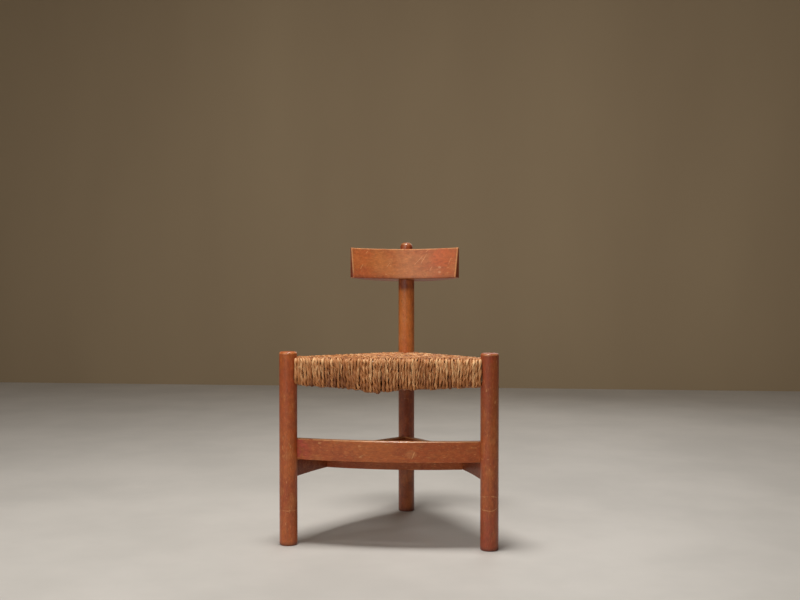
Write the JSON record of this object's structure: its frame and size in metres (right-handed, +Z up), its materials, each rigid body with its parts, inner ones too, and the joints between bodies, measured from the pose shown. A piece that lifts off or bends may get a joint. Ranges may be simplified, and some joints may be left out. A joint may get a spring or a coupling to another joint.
{
  "type": "corner chair",
  "caption": "Low corner chair on a triangular plan: round posts, bowed stretchers, a woven rush seat and a crescent back block on the rear post.",
  "frame": {"origin": "middle of the footprint, on the floor", "axes": "+Z up, +Y towards the rear post, +X to the right seen from the front"},
  "size_m": [0.51, 0.458, 0.714],
  "materials": {
    "stained_beech": "red-brown stained beech, satin, worn at the edges",
    "plain_beech": "bare beech, hidden under the rush",
    "woven_rush": "twisted natural rush, straw to brown",
    "loose_rush": "loose dry rush packing"
  },
  "bodies": {
    "root": {"front_leg_left": "stained_beech", "front_leg_right": "stained_beech", "rear_post": "stained_beech", "back_block": "stained_beech", "front_stretcher": "stained_beech", "side_stretcher_left": "stained_beech", "side_stretcher_right": "stained_beech", "cross_rail": "stained_beech", "seat_rail_front": "plain_beech", "seat_rail_left": "plain_beech", "seat_rail_right": "plain_beech", "rush_weave": "woven_rush", "rush_stuffing": "loose_rush"}
  },
  "joints": []
}
